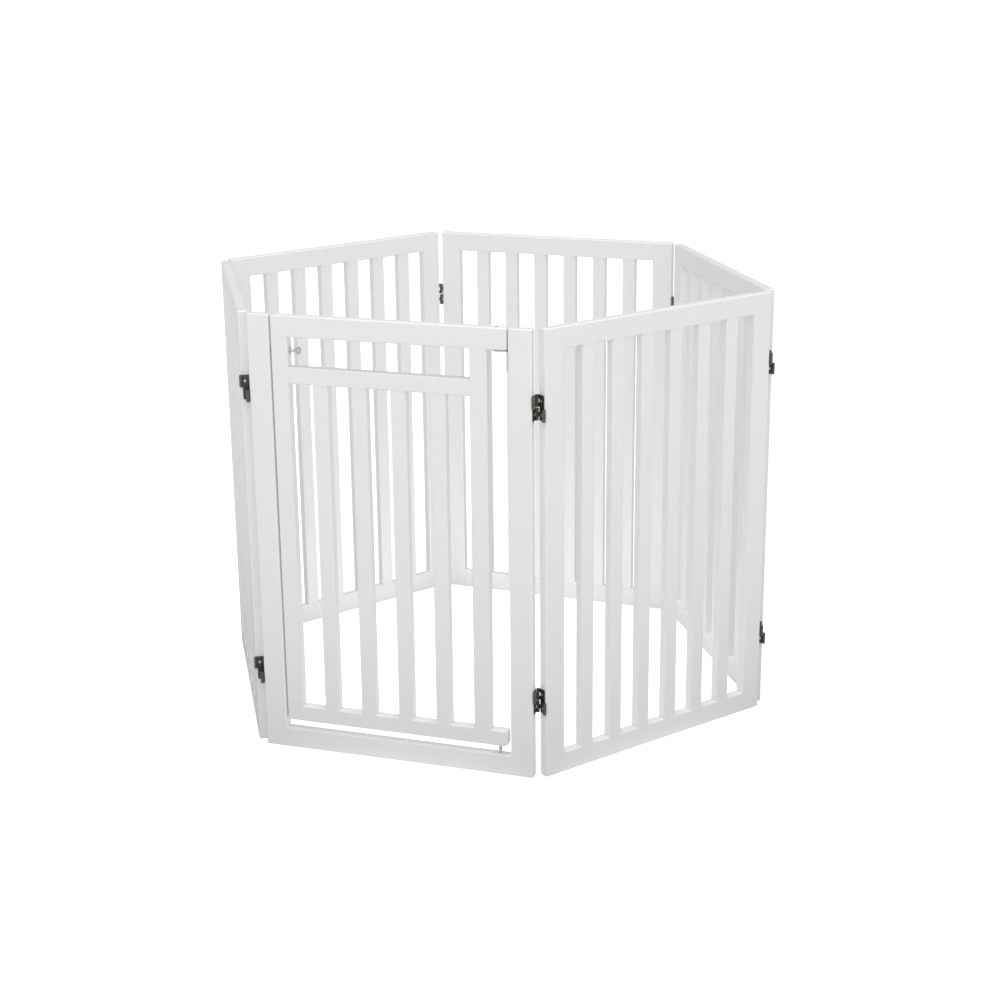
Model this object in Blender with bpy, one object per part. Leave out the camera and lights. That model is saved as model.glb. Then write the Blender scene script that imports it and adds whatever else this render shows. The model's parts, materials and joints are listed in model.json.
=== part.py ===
"""Six-panel folding pet pen with a walk-through door, modelled piece by piece.

The pen stands closed, as a hexagon seen from above. Panel 1, at the front (-Y), is a three-sided
frame that carries the door. Panels 2 to 6 follow it anticlockwise. Neighbours are joined by two
double-acting screen hinges, whose pins lie on the inner faces of the panels.

Each panel is built in its own frame: X runs along the panel from its left hinge axis, Y points
into the pen with the inner face at Y = 0, and Z is up.
"""
import math

import bmesh
import bpy
from mathutils import Matrix, Vector

# ---- driving dimensions, in metres ---------------------------------------------------------
PANEL_WIDTH = 0.508
PANEL_HEIGHT = 0.800
THICKNESS = 0.0185         # stiles and rails
STILE_WIDTH = 0.041
RAIL_HEIGHT = 0.038
EDGE_RADIUS = 0.003
SLAT_COUNT = 6
SLAT_WIDTH = 0.027
SLAT_THICKNESS = 0.0165
SLAT_EDGE_RADIUS = 0.0022
TENON = 0.004              # how far a slat enters its rail
CONTACT_GAP = 0.0003       # left between pieces that touch
HINGE_GAP = 0.007          # between two panels' end faces, measured at the inner faces
SIDE = PANEL_WIDTH + HINGE_GAP   # from one hinge axis to the next

# how far panels 2, 3 and 4 turn from the panel before, in degrees; panels 5 and 6 close the ring
BENDS = (54.0, 67.2, 56.5)

# the door and its opening
DOOR_GAP = 0.003           # between the latch-side stile of the frame and the door
DOOR_END_GAP = 0.0018      # between the other stile and the end of the door's top rail
DOOR_FOOT_GAP = 0.0054     # the same at the door's bottom rail, which stops shorter
DOOR_STILE_WIDTH = 0.031
DOOR_RAIL_HEIGHT = 0.030   # middle and bottom rails
DOOR_MID_RAIL_Z = 0.681
DOOR_BOTTOM_RAIL_Z = 0.054
DOOR_SLAT_COUNT = 4
DOOR_SLAT_WIDTH = 0.028
DOOR_RAIL_OVERHANG = 0.0342  # rails beyond the pivot-side stile of the door
DOOR_FOOT_CORNER = 0.007   # radius of the bottom rail's lower corner at the pivot end
PIVOT_OFFSET = 0.0215      # pivot axis to the inner side of the frame's stile
PIN_RADIUS = 0.003
PIN_CLEARANCE = 0.0003
PIN_DEPTH = 0.018          # of the bottom pin in each rail
PIN_RISE = 0.0012          # of the top pin above the door's rail
BRACKET_WIDTH = 0.014
BRACKET_THICKNESS = 0.002
BRACKET_REACH = 0.028
BRACKET_DROP = 0.036

# the latch
LATCH_Z = 0.738
BOLT_RADIUS = 0.003
BOLT_CLEARANCE = 0.0004
BOLT_REST = 0.0024         # how far the drawn-back bolt shows in the gap
BOLT_THROW = 0.0065
COLLAR_RADIUS = 0.0065
COLLAR_THICKNESS = 0.0015
KNOB_RADIUS = 0.0062

# the hinges
HINGE_HEIGHT = 0.044
HINGE_CENTRES = {"upper": 0.666, "lower": 0.142}
BARREL_RADIUS = 0.003
HINGE_PIN_RADIUS = 0.0012
LEAF_THICKNESS = 0.0011
LINK_THICKNESS = 0.0026    # leaf and folded link together
LEAF_SETBACK = 0.003       # the half without an outer barrel stops short of the outer face
KNUCKLE_SPACE = 0.0003
HALF_SPACE = 0.002         # between a hinge's upper and lower halves
BARREL_SIDES = 12

COLOURS = {
    "white_paint": ((0.82, 0.83, 0.84), 0.45, 0.0),
    "bronze_metal": ((0.085, 0.08, 0.07), 0.42, 0.9),
    "zinc_metal": ((0.45, 0.46, 0.46), 0.35, 1.0),
}


# ---- helpers -------------------------------------------------------------------------------
def clear_scene():
    for thing in list(bpy.data.objects):
        bpy.data.objects.remove(thing, do_unlink=True)


def material(name):
    colour, roughness, metallic = COLOURS[name]
    mat = bpy.data.materials.get(name) or bpy.data.materials.new(name)
    mat.use_nodes = True
    shader = mat.node_tree.nodes["Principled BSDF"]
    shader.inputs["Base Color"].default_value = (*colour, 1.0)
    shader.inputs["Roughness"].default_value = roughness
    shader.inputs["Metallic"].default_value = metallic
    mat.diffuse_color = (*colour, 1.0)
    return mat


def empty(name, parent=None, location=(0, 0, 0), turn=0.0):
    """An axis for what moves: its Z is the joint's axis, or its X where a piece slides."""
    axis = bpy.data.objects.new(name, None)
    bpy.context.collection.objects.link(axis)
    axis.parent = parent
    axis.location = location
    axis.rotation_euler = (0, 0, turn)
    return axis


def place(name, mesh, finish, parent=None, matrix=None):
    piece = bpy.data.objects.new(name, mesh)
    bpy.context.collection.objects.link(piece)
    if not mesh.materials:
        mesh.materials.append(material(finish))
    piece.parent = parent
    piece.matrix_local = matrix or Matrix()
    return piece


def to_mesh(bm, name, smooth_angle=40):
    bm.normal_update()
    bmesh.ops.recalc_face_normals(bm, faces=bm.faces)
    mesh = bpy.data.meshes.new(name)
    bm.to_mesh(mesh)
    bm.free()
    mesh.shade_smooth()
    mesh.set_sharp_from_angle(angle=math.radians(smooth_angle))
    return mesh


def box(low, high):
    bm = bmesh.new()
    bmesh.ops.create_cube(bm, size=1.0)
    low, high = Vector(low), Vector(high)
    for v in bm.verts:
        v.co = (low + high) / 2 + v.co * (high - low)
    return bm


def round_edges(bm, radius, chosen, segments=2):
    """Round the edges for which chosen(middle, direction) is true."""
    edges = []
    for edge in bm.edges:
        a, b = (v.co for v in edge.verts)
        if chosen((a + b) / 2, (b - a).normalized()):
            edges.append(edge)
    bmesh.ops.bevel(bm, geom=edges, offset=radius, segments=segments, profile=0.5,
                    affect="EDGES", clamp_overlap=True)


def cylinder(radius, start, end, sides=16):
    start, end = Vector(start), Vector(end)
    bm = bmesh.new()
    bmesh.ops.create_cone(bm, cap_ends=True, segments=sides, radius1=radius, radius2=radius,
                          depth=(end - start).length)
    turn = (end - start).to_track_quat("Z", "Y").to_matrix().to_4x4()
    bm.transform(Matrix.Translation((start + end) / 2) @ turn)
    return bm


def turned(profile, sides=20):
    """A solid turned about X from its outline: (position along X, radius) points in order."""
    bm = bmesh.new()
    points = [bm.verts.new((x, r, 0)) for x, r in profile]
    edges = [bm.edges.new(pair) for pair in zip(points, points[1:])]
    if profile[0][1] > 0:
        edges.append(bm.edges.new((points[-1], points[0])))
    bmesh.ops.spin(bm, geom=points + edges, cent=(0, 0, 0), axis=(1, 0, 0),
                   angle=math.tau, steps=sides, use_duplicate=False)
    bmesh.ops.remove_doubles(bm, verts=bm.verts, dist=0.00001)
    return bm


def combine(name, first, others, operation="UNION"):
    """Join or cut solids with exact Booleans and return the result as one mesh."""
    base = bpy.data.objects.new(name, to_mesh(first, name))
    bpy.context.collection.objects.link(base)
    tools = []
    for n, bm in enumerate(others):
        tool = bpy.data.objects.new(f"{name}_tool_{n}", to_mesh(bm, f"{name}_tool_{n}"))
        bpy.context.collection.objects.link(tool)
        modifier = base.modifiers.new("boolean", "BOOLEAN")
        modifier.operation = operation
        modifier.solver = "EXACT"
        modifier.object = tool
        tools.append(tool)
    shape = base.evaluated_get(bpy.context.evaluated_depsgraph_get())
    result = bpy.data.meshes.new_from_object(shape)
    result.name = name
    for thing in [base, *tools]:
        bpy.data.objects.remove(thing, do_unlink=True)
    result.shade_smooth()
    result.set_sharp_from_angle(angle=math.radians(40))
    return result


# ---- wooden members ------------------------------------------------------------------------
def stile_mesh(name, height, rail_side, rail_zones):
    """An upright of a panel. rail_side is the X of the side that the rails butt against.

    Its edges are rounded except where a rail meets it flush.
    """
    bm = box((0, -THICKNESS, 0), (STILE_WIDTH, 0, height))
    for low, high in rail_zones:
        for z in (low, high):
            if 0 < z < height:
                bmesh.ops.bisect_plane(bm, geom=bm.verts[:] + bm.edges[:] + bm.faces[:],
                                       plane_co=(0, 0, z), plane_no=(0, 0, 1))

    def exposed(middle, direction):
        on_rail_side = abs(middle.x - rail_side) < 1e-6
        at_rail = any(low - 1e-6 <= middle.z <= high + 1e-6 for low, high in rail_zones)
        around = [abs(middle.x) < 1e-6 or abs(middle.x - STILE_WIDTH) < 1e-6,
                  abs(middle.y) < 1e-6 or abs(middle.y + THICKNESS) < 1e-6,
                  abs(middle.z) < 1e-6 or abs(middle.z - height) < 1e-6]
        return sum(around) == 2 and not (on_rail_side and at_rail)

    round_edges(bm, EDGE_RADIUS, exposed)
    return to_mesh(bm, name)


def rail_solid(length, height, base_z):
    """A rail with its four long edges rounded and square ends that butt against stiles."""
    bm = box((0, -THICKNESS, base_z), (length, 0, base_z + height))
    round_edges(bm, EDGE_RADIUS, lambda middle, direction: abs(direction.x) > 0.9)
    return bm


def slat_solid(width, x, low, high):
    inset = (THICKNESS - SLAT_THICKNESS) / 2
    bm = box((x, -THICKNESS + inset, low), (x + width, -inset, high))
    round_edges(bm, SLAT_EDGE_RADIUS, lambda middle, direction: abs(direction.z) > 0.9)
    return bm


def ladder_mesh():
    """The glued-up middle of a plain panel: two rails with the slats between them."""
    length = PANEL_WIDTH - 2 * STILE_WIDTH - 2 * CONTACT_GAP
    opening = (length - SLAT_COUNT * SLAT_WIDTH) / (SLAT_COUNT + 1)
    top_rail_z = PANEL_HEIGHT - RAIL_HEIGHT
    parts = [rail_solid(length, RAIL_HEIGHT, 0)]
    for n in range(SLAT_COUNT):
        x = opening + n * (opening + SLAT_WIDTH)
        parts.append(slat_solid(SLAT_WIDTH, x, RAIL_HEIGHT - TENON, top_rail_z + TENON))
    return combine("rails_and_slats", rail_solid(length, RAIL_HEIGHT, top_rail_z), parts)


# ---- hinges --------------------------------------------------------------------------------
def hinge_mesh(loose_pin=False):
    """One side of a double-acting hinge: a leaf, its barrels and the link that folds onto it.

    The hinge axis is at X = Y = 0. The leaf stands against the end face of the panel on its
    left, from the inner face at Y = 0 to the outer face. Its upper half has an outer barrel and
    a link whose middle knuckle turns on the other side's pin. Its lower half carries two
    knuckles and their pin. The other side is the same piece turned upside down. With loose_pin
    there is no outer barrel, and every knuckle is bored for one long pin that lifts out.
    """
    half = HINGE_HEIGHT / 2
    leaf_back = -HINGE_GAP / 2 + CONTACT_GAP
    leaf_front = leaf_back + LEAF_THICKNESS
    link_front = leaf_back + LINK_THICKNESS
    low, high = HALF_SPACE / 2, half
    knuckle = (high - low - 2 * KNUCKLE_SPACE) / 3
    middle_low = low + knuckle + KNUCKLE_SPACE
    middle_high = middle_low + knuckle

    leaf = box((leaf_back, -THICKNESS + LEAF_SETBACK, -half), (leaf_front, -0.001, half))
    upper_plate = box((leaf_back, -THICKNESS, low), (leaf_front, -0.004, high))
    outer_barrel = cylinder(BARREL_RADIUS, (0, -THICKNESS, low), (0, -THICKNESS, high), BARREL_SIDES)
    link = box((leaf_back + 0.0002, -THICKNESS + 0.0005, middle_low),
               (link_front, -0.0005, middle_high))
    middle_knuckle = cylinder(BARREL_RADIUS, (0, 0, middle_low), (0, 0, middle_high), BARREL_SIDES)
    lower_knuckles = [
        cylinder(BARREL_RADIUS, (0, 0, -high), (0, 0, -middle_high - KNUCKLE_SPACE), BARREL_SIDES),
        cylinder(BARREL_RADIUS, (0, 0, -middle_low + KNUCKLE_SPACE), (0, 0, -low), BARREL_SIDES),
    ]
    pin = cylinder(HINGE_PIN_RADIUS, (0, 0, -high + 0.001), (0, 0, -low - 0.001), 10)
    feet = [
        box((leaf_back, -0.003, -high), (leaf_front, 0, -middle_high - KNUCKLE_SPACE)),
        box((leaf_back, -0.003, -middle_low + KNUCKLE_SPACE), (leaf_front, 0, -low)),
    ]
    # the leaf is cut back wherever the other side's knuckles turn
    reach = BARREL_RADIUS + KNUCKLE_SPACE
    cuts = [
        cylinder(reach, (0, 0, low - KNUCKLE_SPACE), (0, 0, middle_low), 16),
        cylinder(reach, (0, 0, middle_high), (0, 0, high + KNUCKLE_SPACE), 16),
        cylinder(reach, (0, 0, -middle_high - KNUCKLE_SPACE), (0, 0, -middle_low + KNUCKLE_SPACE), 16),
    ]
    bore_low = -half - 0.001 if loose_pin else middle_low - 0.001
    bore_high = half + 0.001 if loose_pin else middle_high + 0.001
    bore = cylinder(HINGE_PIN_RADIUS + PIN_CLEARANCE, (0, 0, bore_low), (0, 0, bore_high), 10)
    if not loose_pin:
        plates = combine("plates", leaf, [upper_plate])
        leaf = bmesh.new()
        leaf.from_mesh(plates)
    plates = combine("plates", leaf, cuts, "DIFFERENCE")
    bm = bmesh.new()
    bm.from_mesh(plates)
    joined = [link, middle_knuckle, *lower_knuckles, *feet]
    if not loose_pin:
        joined.append(outer_barrel)
    solid = combine("solid", bm, joined)
    bm = bmesh.new()
    bm.from_mesh(solid)
    bored = combine("bored", bm, [bore], "DIFFERENCE")
    if loose_pin:
        return bored
    bm = bmesh.new()
    bm.from_mesh(bored)
    return combine("hinge_side", bm, [pin])


def add_hinges(mesh, corner, side, parent, x):
    """Both hinges' pieces on one end of a panel. Side a is on the panel before the corner."""
    for level, z in HINGE_CENTRES.items():
        flip = Matrix() if side == "a" else Matrix.Rotation(math.pi, 4, "Y")
        place(f"hinge_{corner}_{level}_{side}", mesh, "bronze_metal", parent,
              Matrix.Translation((x, 0, z)) @ flip)


def add_loose_pins(parent, x):
    """The closing corner's two pins. Lifting both out opens the ring."""
    half = HINGE_HEIGHT / 2
    head = half + CONTACT_GAP
    for level, z in HINGE_CENTRES.items():
        axis = empty(f"closing_pin_{level}_axis", parent, (x, 0, z))
        pin = turned([(-half, 0), (-half, HINGE_PIN_RADIUS * 0.6), (-half + 0.001, HINGE_PIN_RADIUS),
                      (head, HINGE_PIN_RADIUS), (head, BARREL_RADIUS), (head + 0.001, BARREL_RADIUS),
                      (head + 0.0018, BARREL_RADIUS * 0.6), (head + 0.0018, 0)], 12)
        pin.transform(Matrix.Rotation(-math.pi / 2, 4, "Y"))
        place(f"closing_pin_{level}", to_mesh(pin, f"closing_pin_{level}"), "bronze_metal", axis)


# ---- panels --------------------------------------------------------------------------------
def add_plain_panel(number, parent, left_axis_x, meshes):
    """Two stiles and the ladder between them, in the frame of the panel's axis."""
    left = left_axis_x + HINGE_GAP / 2
    right = left + PANEL_WIDTH - STILE_WIDTH
    name = f"panel_{number}"
    place(f"{name}_stile_left", meshes["stile_left"], "white_paint", parent,
          Matrix.Translation((left, 0, 0)))
    place(f"{name}_stile_right", meshes["stile_right"], "white_paint", parent,
          Matrix.Translation((right, 0, 0)))
    place(f"{name}_rails_and_slats", meshes["ladder"], "white_paint", parent,
          Matrix.Translation((left + STILE_WIDTH + CONTACT_GAP, 0, 0)))


def add_door_frame(parent):
    """Panel 1: two stiles and a bottom rail, open at the top so that the door's rail fills it."""
    zones = [(0, RAIL_HEIGHT)]
    left = HINGE_GAP / 2
    right = left + PANEL_WIDTH - STILE_WIDTH
    side = left + STILE_WIDTH
    middle_y = -THICKNESS / 2
    latch_stile = bmesh.new()
    latch_stile.from_mesh(stile_mesh("frame_stile", PANEL_HEIGHT, STILE_WIDTH, zones))
    bolt_hole = cylinder(BOLT_RADIUS + BOLT_CLEARANCE,
                         (STILE_WIDTH - BOLT_THROW - 0.001, middle_y, LATCH_Z),
                         (STILE_WIDTH + 0.005, middle_y, LATCH_Z))
    place("door_frame_stile_left", combine("frame_stile_left", latch_stile, [bolt_hole], "DIFFERENCE"),
          "white_paint", parent, Matrix.Translation((left, 0, 0)))
    place("door_frame_stile_right", stile_mesh("frame_stile_right", PANEL_HEIGHT, 0, zones),
          "white_paint", parent, Matrix.Translation((right, 0, 0)))

    length = PANEL_WIDTH - 2 * STILE_WIDTH - 2 * CONTACT_GAP
    pin_x = length + CONTACT_GAP - PIVOT_OFFSET
    pin_hole = cylinder(PIN_RADIUS + CONTACT_GAP, (pin_x, middle_y, RAIL_HEIGHT - PIN_DEPTH - 0.0003),
                        (pin_x, middle_y, RAIL_HEIGHT + 0.005))
    rail = combine("frame_bottom_rail", rail_solid(length, RAIL_HEIGHT, 0), [pin_hole], "DIFFERENCE")
    place("door_frame_bottom_rail", rail, "white_paint", parent,
          Matrix.Translation((side + CONTACT_GAP, 0, 0)))

    pivot_x = right - PIVOT_OFFSET
    pin_low = RAIL_HEIGHT - PIN_DEPTH
    pin_high = DOOR_BOTTOM_RAIL_Z + PIN_DEPTH
    place("pivot_pin_bottom", to_mesh(cylinder(PIN_RADIUS, (0, 0, pin_low), (0, 0, pin_high)), "pin_bottom"),
          "zinc_metal", parent, Matrix.Translation((pivot_x, middle_y, 0)))
    add_bracket(parent, pivot_x, middle_y)
    return pivot_x


def add_bracket(parent, pivot_x, middle_y):
    """The angle bracket on the frame's stile, with the pin that the door's top rail turns on."""
    wall = pivot_x + PIVOT_OFFSET - CONTACT_GAP
    top = PANEL_HEIGHT - RAIL_HEIGHT - 2 * CONTACT_GAP
    half = BRACKET_WIDTH / 2
    tip = wall - BRACKET_REACH
    flat = box((tip, middle_y - half, top - BRACKET_THICKNESS), (wall, middle_y + half, top))
    upright = box((wall - BRACKET_THICKNESS, middle_y - half, top - BRACKET_DROP),
                  (wall, middle_y + half, top - BRACKET_THICKNESS / 2))
    hole = cylinder(PIN_RADIUS + CONTACT_GAP, (pivot_x, middle_y, top - 0.01),
                    (pivot_x, middle_y, top + 0.01))
    angle = bmesh.new()
    angle.from_mesh(combine("angle", flat, [upright]))
    round_edges(angle, BRACKET_WIDTH * 0.48, lambda middle, direction:
                abs(direction.z) > 0.9 and abs(middle.x - tip) < 1e-4, segments=5)
    place("pivot_bracket", combine("pivot_bracket", angle, [hole], "DIFFERENCE"), "zinc_metal", parent)
    pin = cylinder(PIN_RADIUS, (0, 0, top - 0.004), (0, 0, PANEL_HEIGHT + PIN_RISE))
    place("pivot_pin_top", to_mesh(pin, "pin_top"), "zinc_metal", parent,
          Matrix.Translation((pivot_x, middle_y, 0)))


# ---- the door ------------------------------------------------------------------------------
def door_rail(name, low_x, high_x, low_z, height, bore, corner=0.0):
    """A full-length rail of the door, in the frame of its pivot axis: Y is 0 at mid thickness.

    corner is the radius of the lower corner of the pivot end, as seen from the front.
    """
    half = THICKNESS / 2
    bm = box((low_x, -half, low_z), (high_x, half, low_z + height))
    upper_half = low_z + height / 2
    if corner:
        round_edges(bm, corner, lambda middle, direction:
                    abs(direction.y) > 0.9 and middle.x > 0 and middle.z < upper_half, segments=5)
    round_edges(bm, EDGE_RADIUS, lambda middle, direction:
                not corner or abs(direction.y) < 0.9 or middle.x < 0 or middle.z > upper_half)
    return combine(name, bm, [bore], "DIFFERENCE")


def add_door(axis, latch_edge):
    """The door's members. latch_edge is the X of its free edge from the pivot axis."""
    half = THICKNESS / 2
    end = PIVOT_OFFSET - DOOR_END_GAP
    top_z = PANEL_HEIGHT - RAIL_HEIGHT
    mid_top = DOOR_MID_RAIL_Z + DOOR_RAIL_HEIGHT
    bottom_top = DOOR_BOTTOM_RAIL_Z + DOOR_RAIL_HEIGHT
    hole = PIN_RADIUS + PIN_CLEARANCE

    through = cylinder(hole, (0, 0, top_z - 0.005), (0, 0, PANEL_HEIGHT + 0.005))
    place("door_top_rail", door_rail("door_top_rail", latch_edge, end, top_z, RAIL_HEIGHT, through),
          "white_paint", axis)
    blind = cylinder(hole, (0, 0, DOOR_BOTTOM_RAIL_Z - 0.005),
                     (0, 0, DOOR_BOTTOM_RAIL_Z + PIN_DEPTH + PIN_CLEARANCE))
    bottom_rail = door_rail("door_bottom_rail", latch_edge, PIVOT_OFFSET - DOOR_FOOT_GAP,
                            DOOR_BOTTOM_RAIL_Z, DOOR_RAIL_HEIGHT, blind, DOOR_FOOT_CORNER)
    place("door_bottom_rail", bottom_rail, "white_paint", axis)

    low, high = bottom_top + CONTACT_GAP, top_z - CONTACT_GAP
    latch_side = latch_edge + DOOR_STILE_WIDTH
    pivot_side = end - DOOR_RAIL_OVERHANG - DOOR_STILE_WIDTH

    def upright(x, width, top, thickness=THICKNESS, radius=EDGE_RADIUS):
        bm = box((x, -thickness / 2, low), (x + width, thickness / 2, top))
        round_edges(bm, radius, lambda middle, direction: abs(direction.z) > 0.9)
        return bm

    tunnel = cylinder(BOLT_RADIUS + BOLT_CLEARANCE, (latch_edge - 0.01, 0, LATCH_Z),
                      (latch_side + 0.01, 0, LATCH_Z))
    place("door_stile_latch", combine("door_stile_latch", upright(latch_edge, DOOR_STILE_WIDTH, high),
                                      [tunnel], "DIFFERENCE"), "white_paint", axis)
    place("door_stile_pivot", to_mesh(upright(pivot_side, DOOR_STILE_WIDTH, high), "door_stile_pivot"),
          "white_paint", axis)

    mid_low, mid_high = latch_side + CONTACT_GAP, pivot_side - CONTACT_GAP
    mid = box((mid_low, -half, DOOR_MID_RAIL_Z), (mid_high, half, mid_top))
    round_edges(mid, EDGE_RADIUS, lambda middle, direction: abs(direction.x) > 0.9)
    place("door_mid_rail", to_mesh(mid, "door_mid_rail"), "white_paint", axis)

    opening = (pivot_side - latch_side - DOOR_SLAT_COUNT * DOOR_SLAT_WIDTH) / (DOOR_SLAT_COUNT + 1)
    for n in range(DOOR_SLAT_COUNT):
        x = latch_side + opening + n * (opening + DOOR_SLAT_WIDTH)
        slat = upright(x, DOOR_SLAT_WIDTH, DOOR_MID_RAIL_Z - CONTACT_GAP, SLAT_THICKNESS,
                       SLAT_EDGE_RADIUS)
        place(f"door_slat_{n + 1}", to_mesh(slat, f"door_slat_{n + 1}"), "white_paint", axis)
    add_latch(axis, latch_edge, latch_side)


def add_latch(axis, latch_edge, latch_side):
    """A round bolt with a pull knob, which slides through the door's stile into the frame."""
    collar_start = latch_side + CONTACT_GAP
    collar_end = collar_start + COLLAR_THICKNESS
    bore = BOLT_RADIUS + BOLT_CLEARANCE
    collar = turned([(collar_start, bore), (collar_start, COLLAR_RADIUS),
                     (collar_end - 0.0006, COLLAR_RADIUS), (collar_end, COLLAR_RADIUS - 0.0008),
                     (collar_end, bore)])
    place("latch_collar", to_mesh(collar, "latch_collar"), "zinc_metal", axis,
          Matrix.Translation((0, 0, LATCH_Z)))

    slide = empty("latch_bolt_axis", axis, (0, 0, LATCH_Z))
    tip = latch_edge - BOLT_REST
    knob_start = collar_end + BOLT_THROW + CONTACT_GAP
    neck = BOLT_RADIUS * 0.85
    bolt = turned([
        (tip, 0), (tip, BOLT_RADIUS - 0.0008), (tip + 0.0008, BOLT_RADIUS),
        (knob_start - 0.0012, BOLT_RADIUS), (knob_start, neck), (knob_start + 0.002, neck),
        (knob_start + 0.0035, KNOB_RADIUS * 0.72), (knob_start + 0.0055, KNOB_RADIUS * 0.78),
        (knob_start + 0.0065, KNOB_RADIUS), (knob_start + 0.0095, KNOB_RADIUS),
        (knob_start + 0.0110, KNOB_RADIUS * 0.8), (knob_start + 0.0115, 0),
    ])
    place("latch_bolt", to_mesh(bolt, "latch_bolt"), "zinc_metal", slide)


# ---- the pen -------------------------------------------------------------------------------
def closing_corner(a, b, side):
    """The point one side from both a and b, on the outer side of the line from a to b."""
    middle = (a + b) / 2
    half = (b - a) / 2
    outward = Vector((half.y, -half.x)).normalized()
    return middle + outward * math.sqrt(side ** 2 - half.length_squared)


def panel_turns():
    """The direction of each panel from +X, in radians. The last two close the ring."""
    turns = {1: 0.0}
    corner = Vector((SIDE, 0))
    for number, bend in enumerate(BENDS, start=2):
        turns[number] = turns[number - 1] + math.radians(bend)
        corner += SIDE * Vector((math.cos(turns[number]), math.sin(turns[number])))
    last = closing_corner(corner, Vector((0, 0)), SIDE)
    turns[5] = math.atan2(last.y - corner.y, last.x - corner.x)
    turns[6] = math.atan2(-last.y, -last.x)
    return turns


def stand_at_origin(root):
    """Move the pen so that the middle of its footprint is at the origin, with its feet at Z = 0."""
    bpy.context.view_layer.update()
    points = []
    for piece in bpy.data.objects:
        if piece.type == "MESH":
            points += [piece.matrix_world @ v.co for v in piece.data.vertices]
    for n in (0, 1):
        values = [p[n] for p in points]
        root.location[n] = -(min(values) + max(values)) / 2


def build():
    clear_scene()
    turns = panel_turns()
    both = [(0, RAIL_HEIGHT), (PANEL_HEIGHT - RAIL_HEIGHT, PANEL_HEIGHT)]
    meshes = {
        "stile_left": stile_mesh("stile_left", PANEL_HEIGHT, STILE_WIDTH, both),
        "stile_right": stile_mesh("stile_right", PANEL_HEIGHT, 0, both),
        "ladder": ladder_mesh(),
    }
    hinge = hinge_mesh()
    open_hinge = hinge_mesh(loose_pin=True)

    root = empty("pen")
    pivot_x = add_door_frame(root)
    door_axis = empty("door_axis", root, (pivot_x, -THICKNESS / 2, 0))
    add_door(door_axis, HINGE_GAP / 2 + STILE_WIDTH + DOOR_GAP - pivot_x)
    add_hinges(hinge, "12", "a", root, SIDE)
    add_hinges(hinge, "61", "b", root, 0)

    before, corner_x = root, SIDE
    for number in (2, 3, 4, 5):
        axis = empty(f"panel_{number}_axis", before, (corner_x, 0, 0),
                     turns[number] - turns[number - 1])
        add_plain_panel(number, axis, 0, meshes)
        add_hinges(hinge, f"{number - 1}{number}", "b", axis, 0)
        add_hinges(open_hinge if number == 5 else hinge, f"{number}{number + 1}", "a", axis, SIDE)
        before = axis

    axis = empty("panel_6_axis", root, (0, 0, 0), turns[6])
    add_plain_panel(6, axis, -SIDE, meshes)
    add_hinges(open_hinge, "56", "b", axis, -SIDE)
    add_loose_pins(axis, -SIDE)
    add_hinges(hinge, "61", "a", axis, 0)
    stand_at_origin(root)


build()
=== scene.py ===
"""The pet pen's looks: painted wood, dark bronze hinges and plated door hardware.

Every panel is rebuilt in its own frame: X runs along the panel from its left hinge axis, Y points
into the pen with the inner face at Y = 0, and Z is up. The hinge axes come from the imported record.
"""

import json
import math

import bmesh
import bpy
from mathutils import Matrix, Vector


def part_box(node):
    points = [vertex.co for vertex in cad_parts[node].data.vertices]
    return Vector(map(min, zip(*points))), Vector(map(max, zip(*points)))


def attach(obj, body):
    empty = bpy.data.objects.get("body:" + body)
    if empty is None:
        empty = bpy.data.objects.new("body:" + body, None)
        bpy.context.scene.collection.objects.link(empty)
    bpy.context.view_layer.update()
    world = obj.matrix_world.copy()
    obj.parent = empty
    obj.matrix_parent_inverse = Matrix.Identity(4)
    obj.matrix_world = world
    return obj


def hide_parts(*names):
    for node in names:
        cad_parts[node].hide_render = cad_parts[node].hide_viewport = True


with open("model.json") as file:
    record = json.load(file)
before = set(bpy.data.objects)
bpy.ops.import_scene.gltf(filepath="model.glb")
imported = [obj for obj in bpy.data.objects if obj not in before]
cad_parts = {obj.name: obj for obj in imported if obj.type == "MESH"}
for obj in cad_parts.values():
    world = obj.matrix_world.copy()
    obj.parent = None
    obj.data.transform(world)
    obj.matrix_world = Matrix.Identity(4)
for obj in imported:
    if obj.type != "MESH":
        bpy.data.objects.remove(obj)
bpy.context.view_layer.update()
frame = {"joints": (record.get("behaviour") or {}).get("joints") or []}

# ---- dimensions, in metres, as in the CAD --------------------------------------------------
HEIGHT = 0.800
THICKNESS = 0.0185
STILE = 0.041
RAIL = 0.038
EDGE = 0.003
SLAT = 0.027
SLAT_THICKNESS = 0.0165
SLAT_EDGE = 0.0022
SLAT_COUNT = 6
HINGE_GAP = 0.007
JOINT_LINE = 0.0001        # half the fine line where two members meet
END_CHAMFER = 0.0002

DOOR_GAP = 0.003
DOOR_END_GAP = 0.0018
DOOR_FOOT_GAP = 0.0054
DOOR_STILE = 0.031
DOOR_RAIL = 0.030
MID_RAIL_Z = 0.681
DOOR_FOOT_Z = 0.054
DOOR_SLAT_COUNT = 4
DOOR_SLAT = 0.028
DOOR_OVERHANG = 0.0342
DOOR_FOOT_CORNER = 0.007
PIVOT_OFFSET = 0.0215
PIN_RADIUS = 0.003
PIN_DEPTH = 0.018
PIN_RISE = 0.0012
BRACKET_WIDTH = 0.014
BRACKET_THICKNESS = 0.002
BRACKET_REACH = 0.028
BRACKET_DROP = 0.036

LATCH_Z = 0.738
BOLT_RADIUS = 0.003
BOLT_REST = 0.0024
BOLT_THROW = 0.0065
COLLAR_RADIUS = 0.0065
COLLAR_THICKNESS = 0.0015
KNOB_RADIUS = 0.0062

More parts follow.
